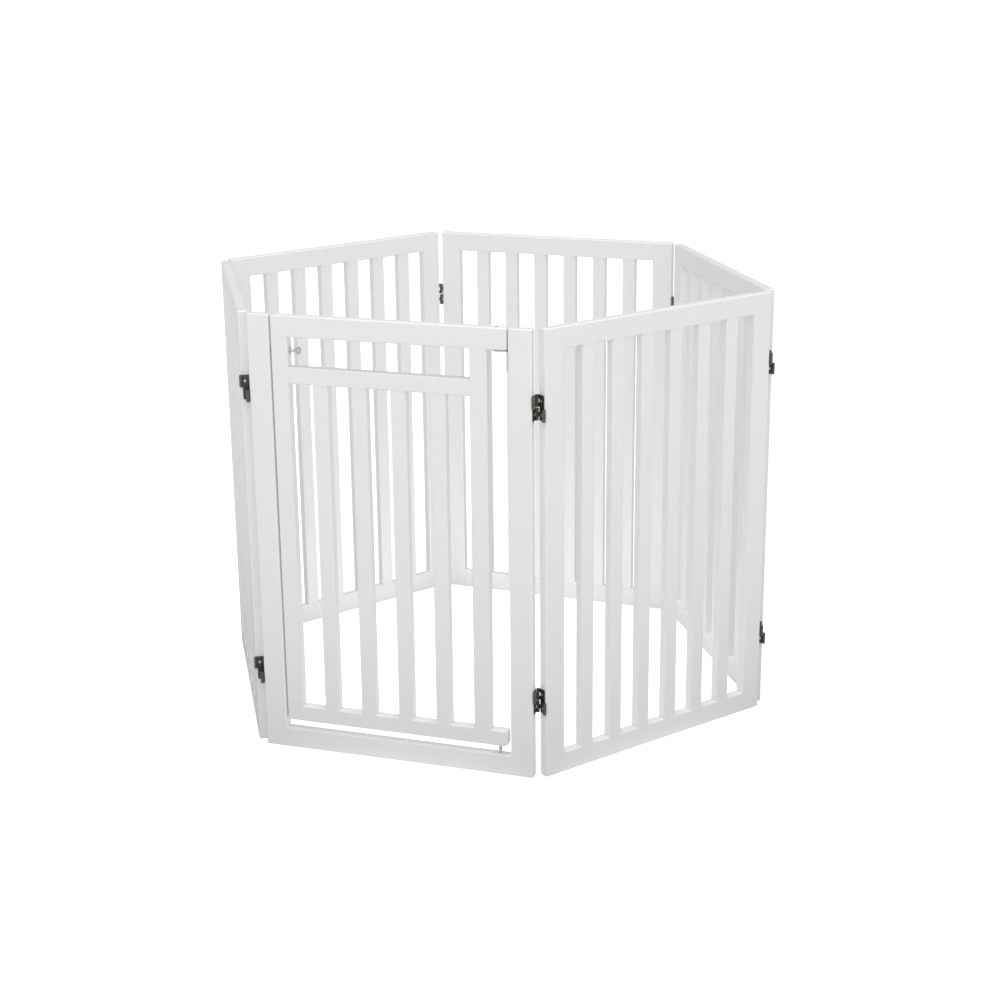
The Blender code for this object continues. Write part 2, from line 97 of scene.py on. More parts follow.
HINGE_HEIGHT = 0.044
HINGE_CENTRES = {"upper": 0.666, "lower": 0.142}
BARREL = 0.003
HINGE_PIN = 0.0012
PIN_BORE = 0.0015
LEAF = 0.0011              # a leaf's thickness
LINK = 0.0026              # leaf and folded link together
LEAF_SETBACK = 0.003
KNUCKLE_SPACE = 0.0003
HALF_SPACE = 0.002

# ---- looks only: fine details and working tolerances ---------------------------------------
PLAY = 0.0001              # between pieces that nearly touch
BORE_PLAY = 0.0004         # around a pin in wood
NEAR = 1e-5                # two places closer than this are the same
SHARP = 0.5                # the least angle of an edge that gets rounded, in radians
BLEND_ANGLE = math.radians(40)
ROD_CHAMFER = 0.0003
ROD_SIDES = 28
SCREW_RADIUS = 0.0026
SCREW_RISE = 0.0005
BRACKET_SCREW_DROPS = (0.014, 0.027)
HINGE_SCREW_HEIGHT = 0.0115
HINGE_SCREW_DEPTHS = (0.42, 0.60)  # on the leaf and on the link, as parts of the thickness


# ---- materials -----------------------------------------------------------------------------
class Nodes:
    """Adds nodes to a material and links them by name."""

    def __init__(self, name):
        self.material = bpy.data.materials.new(name)
        self.material.use_nodes = True
        self.tree = self.material.node_tree
        self.shader = self.tree.nodes["Principled BSDF"]

    def add(self, kind, settings=None):
        node = self.tree.nodes.new(kind)
        for key, value in (settings or {}).items():
            setattr(node, key, value)
        return node

    def put(self, socket, value):
        if hasattr(value, "is_output"):
            self.tree.links.new(value, socket)
        else:
            socket.default_value = value

    def math(self, operation, a, b=0.0):
        node = self.add("ShaderNodeMath", {"operation": operation})
        self.put(node.inputs[0], a)
        self.put(node.inputs[1], b)
        return node.outputs[0]

    def ramp(self, value, low, high, to_low=0.0, to_high=1.0):
        node = self.add("ShaderNodeMapRange")
        self.put(node.inputs["Value"], value)
        for key, number in zip(("From Min", "From Max", "To Min", "To Max"),
                               (low, high, to_low, to_high)):
            node.inputs[key].default_value = number
        return node.outputs["Result"]

    def mix(self, amount, a, b):
        node = self.add("ShaderNodeMix", {"data_type": "RGBA"})
        self.put(node.inputs["Factor"], amount)
        self.put(node.inputs["A"], (*a, 1.0) if isinstance(a, tuple) else a)
        self.put(node.inputs["B"], (*b, 1.0) if isinstance(b, tuple) else b)
        return node.outputs["Result"]

    def noise(self, vector, scale, stretch=(1, 1, 1), detail=4.0, roughness=0.55):
        mapping = self.add("ShaderNodeMapping", {"vector_type": "POINT"})
        self.put(mapping.inputs["Vector"], vector)
        mapping.inputs["Scale"].default_value = stretch
        node = self.add("ShaderNodeTexNoise")
        self.put(node.inputs["Vector"], mapping.outputs["Vector"])
        node.inputs["Scale"].default_value = scale
        node.inputs["Detail"].default_value = detail
        node.inputs["Roughness"].default_value = roughness
        return node.outputs["Fac"]

    def bump(self, height, strength, distance, normal=None):
        node = self.add("ShaderNodeBump")
        node.inputs["Strength"].default_value = strength
        node.inputs["Distance"].default_value = distance
        self.put(node.inputs["Height"], height)
        if normal:
            self.put(node.inputs["Normal"], normal)
        return node.outputs["Normal"]


def painted_wood():
    """Satin white paint over straight-grained softwood; local Z runs along the grain."""
    n = Nodes("white_paint_detail")
    place = n.add("ShaderNodeTexCoord")
    local = place.outputs["Object"]
    piece = n.add("ShaderNodeObjectInfo").outputs["Random"]
    shift = n.add("ShaderNodeVectorMath", {"operation": "ADD"})
    n.put(shift.inputs[0], local)
    n.put(shift.inputs[1], n.math("MULTIPLY", piece, 7.0))
    where = shift.outputs["Vector"]

    grain = n.noise(where, 260, (1, 1, 0.03), detail=5, roughness=0.6)
    broad = n.noise(where, 38, (1, 1, 0.05), detail=3)
    drift = n.noise(where, 6, (1, 1, 0.6), detail=2)
    peel = n.noise(where, 900, detail=2)

    # the ends take up more paint and look a little greyer
    facing = n.add("ShaderNodeSeparateXYZ")
    n.put(facing.inputs["Vector"], place.outputs["Normal"])
    end = n.ramp(n.math("ABSOLUTE", facing.outputs["Z"]), 0.8, 0.95)
    edge = n.ramp(n.add("ShaderNodeNewGeometry").outputs["Pointiness"], 0.52, 0.60)

    base = n.mix(n.ramp(drift, 0.35, 0.65), (0.872, 0.877, 0.884), (0.856, 0.862, 0.870))
    base = n.mix(n.math("MULTIPLY", n.ramp(grain, 0.52, 0.72), 0.30), base, (0.79, 0.80, 0.807))
    base = n.mix(n.math("MULTIPLY", n.ramp(broad, 0.5, 0.75), 0.25), base, (0.82, 0.825, 0.827))
    base = n.mix(n.math("MULTIPLY", end, 0.35), base, (0.80, 0.805, 0.807))
    worn = n.math("MULTIPLY", edge, n.ramp(n.noise(where, 55, detail=5), 0.45, 0.7))
    base = n.mix(n.math("MULTIPLY", worn, 0.5), base, (0.91, 0.91, 0.905))
    n.put(n.shader.inputs["Base Color"], base)

    rough = n.ramp(n.math("ADD", n.math("MULTIPLY", grain, 0.5), n.math("MULTIPLY", drift, 0.5)),
                   0.3, 0.7, 0.36, 0.52)
    n.put(n.shader.inputs["Roughness"], rough)
    n.shader.inputs["Coat Weight"].default_value = 0.12
    n.shader.inputs["Coat Roughness"].default_value = 0.35

    normal = n.bump(grain, 0.22, 0.0004)
    normal = n.bump(broad, 0.18, 0.0008, normal)
    normal = n.bump(peel, 0.06, 0.0002, normal)
    n.put(n.shader.inputs["Normal"], normal)
    return n.material


def bronze():
    """Dark bronze coating with lighter rubbed edges."""
    n = Nodes("bronze_metal_detail")
    local = n.add("ShaderNodeTexCoord").outputs["Object"]
    cloud = n.noise(local, 180, detail=4)
    fine = n.noise(local, 1600, detail=3)
    edge = n.ramp(n.add("ShaderNodeNewGeometry").outputs["Pointiness"], 0.52, 0.62)
    base = n.mix(n.ramp(cloud, 0.35, 0.7), (0.082, 0.080, 0.070), (0.120, 0.117, 0.104))
    rubbed = n.math("MULTIPLY", edge, n.ramp(fine, 0.4, 0.65))
    base = n.mix(n.math("MULTIPLY", rubbed, 0.6), base, (0.34, 0.32, 0.27))
    n.put(n.shader.inputs["Base Color"], base)
    n.put(n.shader.inputs["Roughness"], n.ramp(cloud, 0.3, 0.7, 0.34, 0.52))
    n.shader.inputs["Metallic"].default_value = 0.75
    n.put(n.shader.inputs["Normal"], n.bump(fine, 0.15, 0.0001))
    return n.material


def zinc():
    """Plated steel, turned or drawn, with faint streaks and a hazy bloom."""
    n = Nodes("zinc_metal_detail")
    local = n.add("ShaderNodeTexCoord").outputs["Object"]
    streak = n.noise(local, 700, (0.08, 1, 1), detail=4)
    bloom = n.noise(local, 140, detail=4)
    edge = n.ramp(n.add("ShaderNodeNewGeometry").outputs["Pointiness"], 0.52, 0.62)
    base = n.mix(n.ramp(bloom, 0.35, 0.7), (0.58, 0.585, 0.59), (0.70, 0.70, 0.70))
    base = n.mix(n.math("MULTIPLY", edge, 0.5), base, (0.80, 0.80, 0.79))
    n.put(n.shader.inputs["Base Color"], base)
    n.shader.inputs["Metallic"].default_value = 1.0
    n.put(n.shader.inputs["Roughness"], n.ramp(streak, 0.3, 0.7, 0.22, 0.42))
    n.put(n.shader.inputs["Normal"], n.bump(streak, 0.12, 0.0001))
    return n.material


LOOKS = {"white_paint": painted_wood(), "bronze_metal": bronze(), "zinc_metal": zinc()}


# ---- mesh helpers --------------------------------------------------------------------------
def blend_normals(mesh):
    """Shades the flat faces that square with the axes as truly flat, and blends the rest.

    Where a rounded strip runs into a flat face it takes that face's normal.
    """
    def flat(normal):
        return max(abs(c) for c in normal) > 0.99999

    around = [[] for _ in mesh.vertices]
    for face in mesh.polygons:
        for v in face.vertices:
            around[v].append((face.normal.copy(), face.area))
    normals = []
    for face in mesh.polygons:
        own = face.normal.copy()
        for v in face.vertices:
            near = [(n, a) for n, a in around[v] if n.dot(own) > math.cos(BLEND_ANGLE)]
            flats = [(n.dot(own), n) for n, a in near if flat(n)]
            if flat(own):
                normals.append(own)
            elif flats:
                normals.append(max(flats, key=lambda f: f[0])[1])
            else:
                total = Vector()
                for n, a in near:
                    total += n
                normals.append(total.normalized() if total.length > 0 else own)
    mesh.normals_split_custom_set(normals)


def finish_piece(name, bm, slot, body, matrix=None, node=None):
    """Makes an object of bm, in place, riding on a body and standing for a CAD node if given."""
    bm.normal_update()
    bmesh.ops.recalc_face_normals(bm, faces=bm.faces)
    mesh = bpy.data.meshes.new(name)
    bm.to_mesh(mesh)
    bm.free()
    mesh.shade_smooth()
    mesh.materials.append(LOOKS[slot])
    blend_normals(mesh)
    piece = bpy.data.objects.new(name, mesh)
    bpy.context.scene.collection.objects.link(piece)
    piece.matrix_world = matrix or Matrix()
    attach(piece, body)
    if node:
        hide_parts(node)
    return piece


def block(low, high):
    """A plain box between two corners."""
    bm = bmesh.new()
    bmesh.ops.create_cube(bm, size=1.0)
    low, high = Vector(low), Vector(high)
    for v in bm.verts:
        v.co = (low + high) / 2 + v.co * (high - low)
    bm.normal_update()
    return bm


def soften(bm, radius, chosen, segments=4):
    """Rounds the sharp edges for which chosen(middle, direction) is true."""
    edges = []
    for e in bm.edges:
        a, b = (v.co for v in e.verts)
        if len(e.link_faces) == 2 and e.calc_face_angle() > SHARP:
            if chosen((a + b) / 2, (b - a).normalized()):
                edges.append(e)
    bmesh.ops.bevel(bm, geom=edges, offset=radius, segments=segments, profile=0.5,
                    affect="EDGES", clamp_overlap=True)
    bm.normal_update()
    return bm


def lathe(profile, sides=32):
    """A solid turned about Z from (radius, height) points."""
    bm = bmesh.new()
    points = [bm.verts.new((r, 0, z)) for r, z in profile]
    edges = [bm.edges.new(pair) for pair in zip(points, points[1:])]
    if profile[0][0] > 0:
        edges.append(bm.edges.new((points[-1], points[0])))
    bmesh.ops.spin(bm, geom=points + edges, cent=(0, 0, 0), axis=(0, 0, 1),
                   angle=math.tau, steps=sides, use_duplicate=False)
    bmesh.ops.remove_doubles(bm, verts=bm.verts, dist=0.000005)
    return bm


def rod(radius, low, high, at=(0, 0)):
    """An upright round bar with chamfered ends."""
    bm = lathe([(0, low), (radius - ROD_CHAMFER, low), (radius, low + ROD_CHAMFER),
                (radius, high - ROD_CHAMFER), (radius - ROD_CHAMFER, high), (0, high)], ROD_SIDES)
    bm.transform(Matrix.Translation((at[0], at[1], 0)))
    return bm


def plate(outline, low_x, high_x, bevels=(), edge=0.0):
    """An outline of (y, z) points, given a thickness along X. bevels lists (point, radius)."""
    bm = bmesh.new()
    face = bm.faces.new([bm.verts.new((low_x, y, z)) for y, z in outline])
    top = bmesh.ops.extrude_face_region(bm, geom=[face])
    for v in top["geom"]:
        if isinstance(v, bmesh.types.BMVert):
            v.co.x = high_x
    bm.normal_update()
    bmesh.ops.recalc_face_normals(bm, faces=bm.faces)
    for (y, z), radius in bevels:
        soften(bm, radius, lambda m, d: abs(d.x) > 0.9 and abs(m.y - y) + abs(m.z - z) < NEAR, 5)
    if edge:
        soften(bm, edge, lambda m, d: abs(d.x) < 0.1, segments=2)
    return bm


def merged(*parts):
    """One bmesh from several, which stay separate shells."""
    bm = bmesh.new()
    for part in parts:
        part.normal_update()
        bmesh.ops.recalc_face_normals(part, faces=part.faces)
        mesh = bpy.data.meshes.new("part")
        part.to_mesh(mesh)
        part.free()
        bm.from_mesh(mesh)
        bpy.data.meshes.remove(mesh)
    return bm


def moved(bm, matrix):
    """A copy of bm, transformed."""
    copy = bm.copy()
    copy.transform(matrix)
    return copy


def cut(bm, *tools):
    """Cuts the tools out of bm with exact Booleans."""
    def temporary(part):
        part.normal_update()
        bmesh.ops.recalc_face_normals(part, faces=part.faces)
        mesh = bpy.data.meshes.new("cut")
        part.to_mesh(mesh)
        part.free()
        thing = bpy.data.objects.new("cut", mesh)
        bpy.context.scene.collection.objects.link(thing)
        return thing

    things = [temporary(part) for part in (bm, *tools)]
    for tool in things[1:]:
        modifier = things[0].modifiers.new("cut", "BOOLEAN")
        modifier.operation = "DIFFERENCE"
        modifier.solver = "EXACT"
        modifier.object = tool
    shape = things[0].evaluated_get(bpy.context.evaluated_depsgraph_get())
    mesh = bpy.data.meshes.new_from_object(shape)
    result = bmesh.new()
    result.from_mesh(mesh)
    bpy.data.meshes.remove(mesh)
    for thing in things:
        mesh = thing.data
        bpy.data.objects.remove(thing, do_unlink=True)
        bpy.data.meshes.remove(mesh)
    result.normal_update()
    return result


ALONG_X = Matrix.Rotation(math.pi / 2, 4, "Y")   # turns a piece's local Z to run along X


# ---- panel frames --------------------------------------------------------------------------
def corner_points():
    """Where each corner's hinge axis meets the floor, by the numbers of its two panels."""
    joints = {j["name"]: Vector(j["pos_m"]) for j in frame["joints"] if "pos_m" in j}
    points = {corner: joints[f"fold_{corner}"] for corner in ("12", "23", "34", "45", "61")}
    low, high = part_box("closing_pin_upper")
    points["56"] = (Vector(low) + Vector(high)) / 2
    for p in points.values():
        p.z = 0.0
    return points


def panel_frames():
    """The matrix of each panel's frame, and a panel's width between its hinge axes."""
    at = corner_points()
    ends = {1: ("61", "12"), 2: ("12", "23"), 3: ("23", "34"), 4: ("34", "45"), 5: ("45", "56"),
            6: ("56", "61")}
    frames = {}
    for number, (left, right) in ends.items():
        along = (at[right] - at[left]).normalized()
        inward = Vector((-along.y, along.x, 0))
        rows = Matrix((along, inward, (0, 0, 1))).transposed().to_4x4()
        frames[number] = Matrix.Translation(at[left]) @ rows
    return frames, (at["12"] - at["61"]).length


FRAMES, SIDE = panel_frames()
WIDTH = SIDE - HINGE_GAP
LEFT = HINGE_GAP / 2                 # the panel's left end, from its left hinge axis
RIGHT = LEFT + WIDTH
OPEN_LEFT = LEFT + STILE             # the inner sides of its stiles
OPEN_RIGHT = RIGHT - STILE
TOP_RAIL = HEIGHT - RAIL             # the underside of a top rail
MIDDLE_Y = -THICKNESS / 2
PIVOT_X = OPEN_RIGHT - PIVOT_OFFSET


# ---- wooden members ------------------------------------------------------------------------
def member(name, body, panel, low, high, along="Z", radius=EDGE, joints=(), free_ends=(),
           corner=0.0, node=None, holes=()):
    """A straight member with rounded edges, given by its two corners in the panel's frame.

    Its mesh runs along local Z, so that the grain does. joints lists where other members meet it
    flush, as (side, start, end): side is -1 or 1 for its lower or higher side, and the edges stay
    square from start to end along it. free_ends lists the ends that nothing butts against. corner
    rounds the lower corner of a rail's high end. holes are cutters in the panel's frame.
    """
    low, high = Vector(low), Vector(high)
    middle, size = (low + high) / 2, high - low
    if along == "X":
        turn, flip, start = ALONG_X, -1, middle.x
        half = Vector((size.z, size.y, size.x)) / 2
    else:
        turn, flip, start = Matrix(), 1, middle.z
        half = size / 2
    spans = [(flip * side, a - start, b - start) for side, a, b in joints]
    bm = block(-half, half)
    for z in sorted({z for span in spans for z in span[1:] if abs(z) < half.z - 1e-5}):
        bmesh.ops.bisect_plane(bm, geom=bm.verts[:] + bm.edges[:] + bm.faces[:],
                               plane_co=(0, 0, z), plane_no=(0, 0, 1))
    bm.normal_update()

    def covered(m):
        return any(m.x * side > half.x - 1e-6 and a - 1e-6 <= m.z <= b + 1e-6
                   for side, a, b in spans)

    def exposed(m, d):
        if covered(m):
            return False
        if corner and min(m.x - half.x, m.z - half.z) > -corner:
            return True
        if abs(m.z) > half.z - 1e-6:
            return any(m.z * end > 0 for end in free_ends)
        return abs(m.x) > half.x - 1e-6 and abs(d.x) < 0.1

    if corner:
        soften(bm, corner, lambda m, d: abs(d.y) > 0.9 and min(m.x - half.x, m.z - half.z) > -1e-6,
               segments=10)
    soften(bm, radius, exposed)
    if len(free_ends) < 2:
        soften(bm, END_CHAMFER, lambda m, d: abs(abs(m.z) - half.z) < 1e-6
               and not any(m.z * end > 0 for end in free_ends), segments=1)
    place = Matrix.Translation(middle) @ turn
    if holes:
        bm = cut(bm, *(moved(hole, place.inverted()) for hole in holes))
    return finish_piece(name, bm, "white_paint", body, panel @ place, node)


def side_joints(side, *zones):
    """The joints of a member that meets others in these zones along one side."""
    return [(side, low, high) for low, high in zones]


def plain_panel(number):
    """One of the panels without a door: two stiles, two rails and the slats between them."""
    body = f"panel_{number}"
    panel = FRAMES[number]
    ends = [(0, RAIL), (TOP_RAIL, HEIGHT)]
    for place, x, side in (("left", LEFT, 1), ("right", OPEN_RIGHT, -1)):
        member(f"p{number}_{place}_stile", body, panel, (x, -THICKNESS, 0), (x + STILE, 0, HEIGHT),
               joints=side_joints(side, *ends), free_ends=(-1, 1), node=f"{body}_stile_{place}")
    opening = (WIDTH - 2 * STILE - SLAT_COUNT * SLAT) / (SLAT_COUNT + 1)
    starts = [OPEN_LEFT + opening + n * (opening + SLAT) for n in range(SLAT_COUNT)]
    slats = [(x, x + SLAT) for x in starts]
    for place, z, side in (("bottom", 0, 1), ("top", TOP_RAIL, -1)):
        member(f"p{number}_{place}_rail", body, panel, (OPEN_LEFT + JOINT_LINE, -THICKNESS, z),
               (OPEN_RIGHT - JOINT_LINE, 0, z + RAIL), along="X", joints=side_joints(side, *slats),
               node=f"{body}_rails_and_slats" if place == "bottom" else None)
    inset = (THICKNESS - SLAT_THICKNESS) / 2
    for n, x in enumerate(starts, start=1):
        member(f"p{number}_slat_{n}", body, panel, (x, inset - THICKNESS, RAIL + JOINT_LINE),
               (x + SLAT, -inset, TOP_RAIL - JOINT_LINE), radius=SLAT_EDGE)


def across(radius, x, low, high):
    """An upright cutter at mid thickness of a panel."""
    return rod(radius, low, high, at=(x, MIDDLE_Y))


def along_panel(bm, x, z):
    """Lays a piece turned about Z along the panel, at mid thickness."""
    return moved(bm, Matrix.Translation((x, MIDDLE_Y, z)) @ ALONG_X)


def door_frame():
    """Panel 1 around the door: two stiles and a bottom rail."""
    body, panel = "front_frame", FRAMES[1]
    foot = [(0, RAIL)]
    bolt_hole = along_panel(rod(BOLT_RADIUS + 0.0006, 0, 0.03), OPEN_LEFT - 0.0075, LATCH_Z)
    member("frame_left_stile", body, panel, (LEFT, -THICKNESS, 0), (OPEN_LEFT, 0, HEIGHT),
           joints=side_joints(1, *foot), free_ends=(-1, 1), node="door_frame_stile_left",
           holes=[bolt_hole])
    member("frame_right_stile", body, panel, (OPEN_RIGHT, -THICKNESS, 0), (RIGHT, 0, HEIGHT),
           joints=side_joints(-1, *foot), free_ends=(-1, 1), node="door_frame_stile_right")
    member("frame_bottom_rail", body, panel, (OPEN_LEFT + JOINT_LINE, -THICKNESS, 0),
           (OPEN_RIGHT - JOINT_LINE, 0, RAIL), along="X", node="door_frame_bottom_rail",
           holes=[across(PIN_RADIUS + BORE_PLAY, PIVOT_X, RAIL - 0.019, RAIL + 0.01)])


def door():
    """Three rails, two stiles that stand between them, the slats and the latch."""
    body, panel = "door", FRAMES[1]
    latch_edge = OPEN_LEFT + DOOR_GAP
    end = OPEN_RIGHT - DOOR_END_GAP
    latch_side = latch_edge + DOOR_STILE
    pivot_side = end - DOOR_OVERHANG - DOOR_STILE
    uprights = [(latch_edge, latch_side), (pivot_side, pivot_side + DOOR_STILE)]
    mid_top = MID_RAIL_Z + DOOR_RAIL
    foot = DOOR_FOOT_Z + DOOR_RAIL
    opening = (pivot_side - latch_side - DOOR_SLAT_COUNT * DOOR_SLAT) / (DOOR_SLAT_COUNT + 1)
    starts = [latch_side + opening + n * (opening + DOOR_SLAT) for n in range(DOOR_SLAT_COUNT)]
    slats = [(x, x + DOOR_SLAT) for x in starts]

    hole = PIN_RADIUS + BORE_PLAY
    member("door_upper_rail", body, panel, (latch_edge, -THICKNESS, TOP_RAIL), (end, 0, HEIGHT),
           along="X", joints=side_joints(-1, *uprights), free_ends=(-1, 1),
           node="door_top_rail", holes=[across(hole, PIVOT_X, TOP_RAIL - 0.01, HEIGHT + 0.01)])
    member("door_lower_rail", body, panel, (latch_edge, -THICKNESS, DOOR_FOOT_Z),
           (OPEN_RIGHT - DOOR_FOOT_GAP, 0, foot), along="X", free_ends=(-1, 1),
           joints=side_joints(1, *uprights, *slats), corner=DOOR_FOOT_CORNER, node="door_bottom_rail",
           holes=[across(hole, PIVOT_X, DOOR_FOOT_Z - 0.01, DOOR_FOOT_Z + 0.019)])
    low, high = foot + JOINT_LINE, TOP_RAIL - JOINT_LINE
    tunnel = along_panel(rod(BOLT_RADIUS + 0.0003, 0, 0.06), latch_edge - 0.01, LATCH_Z)
    for name, node, span, side, holes in (
            ("door_left_stile", "door_stile_latch", uprights[0], 1, [tunnel]),
            ("door_right_stile", "door_stile_pivot", uprights[1], -1, [])):
        member(name, body, panel, (span[0], -THICKNESS, low), (span[1], 0, high),
               joints=side_joints(side, (MID_RAIL_Z, mid_top)), node=node, holes=holes)
    member("door_middle_rail", body, panel, (latch_side + JOINT_LINE, -THICKNESS, MID_RAIL_Z),
           (pivot_side - JOINT_LINE, 0, mid_top), along="X", joints=side_joints(-1, *slats),
           node="door_mid_rail")
    inset = (THICKNESS - SLAT_THICKNESS) / 2
    for n, x in enumerate(starts, start=1):
        member(f"door_slat_upright_{n}", body, panel, (x, inset - THICKNESS, low),
               (x + DOOR_SLAT, -inset, MID_RAIL_Z - JOINT_LINE), radius=SLAT_EDGE,
               node=f"door_slat_{n}")
    latch(latch_side, latch_edge)


# ---- hardware ------------------------------------------------------------------------------
def screw_head():
    """A slightly domed countersunk head with a cross recess. It rises along Z from Z = 0."""
    radius, rise = SCREW_RADIUS, SCREW_RISE
    head = lathe([(0, -0.0002), (radius * 0.9, -0.0002), (radius, 0.0), (radius * 0.93, rise * 0.45),
                  (radius * 0.72, rise * 0.8), (radius * 0.4, rise * 0.97), (0, rise)], 24)
    long, short = radius * 0.58, radius * 0.13
    slots = [block((-a, -b, rise * 0.25), (a, b, 0.01)) for a, b in ((long, short), (short, long))]
    return cut(head, *slots)


def screws(name, body, places):
    """All of a body's visible screw heads; places are matrices whose Z points out of the surface."""
    head = screw_head()
    heads = [moved(head, place) for place in places]
    head.free()
    finish_piece(name, merged(*heads), "zinc_metal", body)


def latch(latch_side, latch_edge):
    """The sliding bolt with its knob, and the collar on the inner side of the latch stile."""
    matrix = FRAMES[1] @ Matrix.Translation((0, MIDDLE_Y, LATCH_Z)) @ ALONG_X
    start = latch_side + PLAY
    stop = start + COLLAR_THICKNESS
    bore = BOLT_RADIUS + 0.0003
    ring = lathe([(bore, start), (COLLAR_RADIUS - 0.0002, start), (COLLAR_RADIUS, start + 0.0003),
                  (COLLAR_RADIUS, stop - 0.0006), (COLLAR_RADIUS - 0.0003, stop - 0.0002),
                  (COLLAR_RADIUS - 0.0012, stop), (bore + 0.0004, stop), (bore, stop - 0.0003)], 40)
    finish_piece("bolt_collar", ring, "zinc_metal", "door", matrix, "latch_collar")

    knob = latch_side + 0.0003 + COLLAR_THICKNESS + BOLT_THROW + 0.0003
    tip = latch_edge - BOLT_REST
    r, k = BOLT_RADIUS, KNOB_RADIUS
    outline = [(0, tip), (r * 0.55, tip + 0.0001), (r * 0.85, tip + 0.0006), (r, tip + 0.0014),
               (r, knob - 0.0014), (r * 0.86, knob - 0.0006), (r * 0.80, knob),
               (r * 0.80, knob + 0.0018),
               (k * 0.58, knob + 0.0028), (k * 0.72, knob + 0.0036), (k * 0.74, knob + 0.0042),
               (k * 0.74, knob + 0.0054), (k * 0.80, knob + 0.0058), (k * 0.95, knob + 0.0062),
               (k, knob + 0.0068), (k, knob + 0.0078), (k * 0.975, knob + 0.0080),
               (k, knob + 0.0082), (k, knob + 0.0094), (k * 0.96, knob + 0.0102),
               (k * 0.86, knob + 0.0109), (k * 0.60, knob + 0.0114), (0, knob + 0.0115)]
    finish_piece("slide_bolt", lathe(outline, 48), "zinc_metal", "latch_bolt", matrix, "latch_bolt")


def pivot_hardware():
    """The angle bracket with its pin at the top of the pivot side, and the pin at the bottom."""
    panel = FRAMES[1]
    wall, top = OPEN_RIGHT - 0.0002, TOP_RAIL - 0.0006
    tip, t, half = wall - BRACKET_REACH, BRACKET_THICKNESS, BRACKET_WIDTH / 2
    foot = top - BRACKET_DROP
    bm = bmesh.new()
    outline = [(tip, top), (wall, top), (wall, foot), (wall - t, foot), (wall - t, top - t),
               (tip, top - t)]
    face = bm.faces.new([bm.verts.new((x, MIDDLE_Y - half, z)) for x, z in outline])
    for v in bmesh.ops.extrude_face_region(bm, geom=[face])["geom"]:
        if isinstance(v, bmesh.types.BMVert):
            v.co.y = MIDDLE_Y + half
    bmesh.ops.recalc_face_normals(bm, faces=bm.faces)
    bm.normal_update()
    # the outer and inner sides of the bend, then the round tip, the foot's corners and the rims
    soften(bm, 0.0028, lambda m, d: abs(d.y) > 0.9 and m.x > wall - NEAR and m.z > top - NEAR, 5)
    soften(bm, 0.0009, lambda m, d: abs(d.y) > 0.9
           and abs(m.x - wall + t) + abs(m.z - top + t) < NEAR, 3)
    soften(bm, half * 0.96, lambda m, d: abs(d.z) > 0.9 and m.x < tip + NEAR, 10)
    soften(bm, 0.0030, lambda m, d: abs(d.x) > 0.9 and m.z < foot + NEAR, 6)
    bm = cut(bm, across(PIN_RADIUS + PLAY, PIVOT_X, top - 0.01, top + 0.01))
    soften(bm, 0.00025, lambda m, d: abs(abs(m.y - MIDDLE_Y) - half) < NEAR or m.x < tip + half, 2)
    finish_piece("top_pivot_bracket", bm, "zinc_metal", "front_frame", panel, "pivot_bracket")

    def pin(name, node, low, high):
        r = PIN_RADIUS
        bm = lathe([(0, low), (r - 0.0005, low), (r, low + 0.0005), (r, high - 0.0008),
                    (r * 0.9, high - 0.0003), (r * 0.6, high), (0, high)], 32)
        finish_piece(name, bm, "zinc_metal", "front_frame",
                     panel @ Matrix.Translation((PIVOT_X, MIDDLE_Y, 0)), node)

    pin("upper_pivot_pin", "pivot_pin_top", top - 0.004, HEIGHT + PIN_RISE)
    pin("lower_pivot_pin", "pivot_pin_bottom", RAIL - PIN_DEPTH, DOOR_FOOT_Z + PIN_DEPTH)
    face_left = Matrix.Rotation(-math.pi / 2, 4, "Y")
    screws("bracket_screws", "front_frame", [
        panel @ Matrix.Translation((wall - t, MIDDLE_Y, top - drop)) @ face_left
        for drop in BRACKET_SCREW_DROPS])


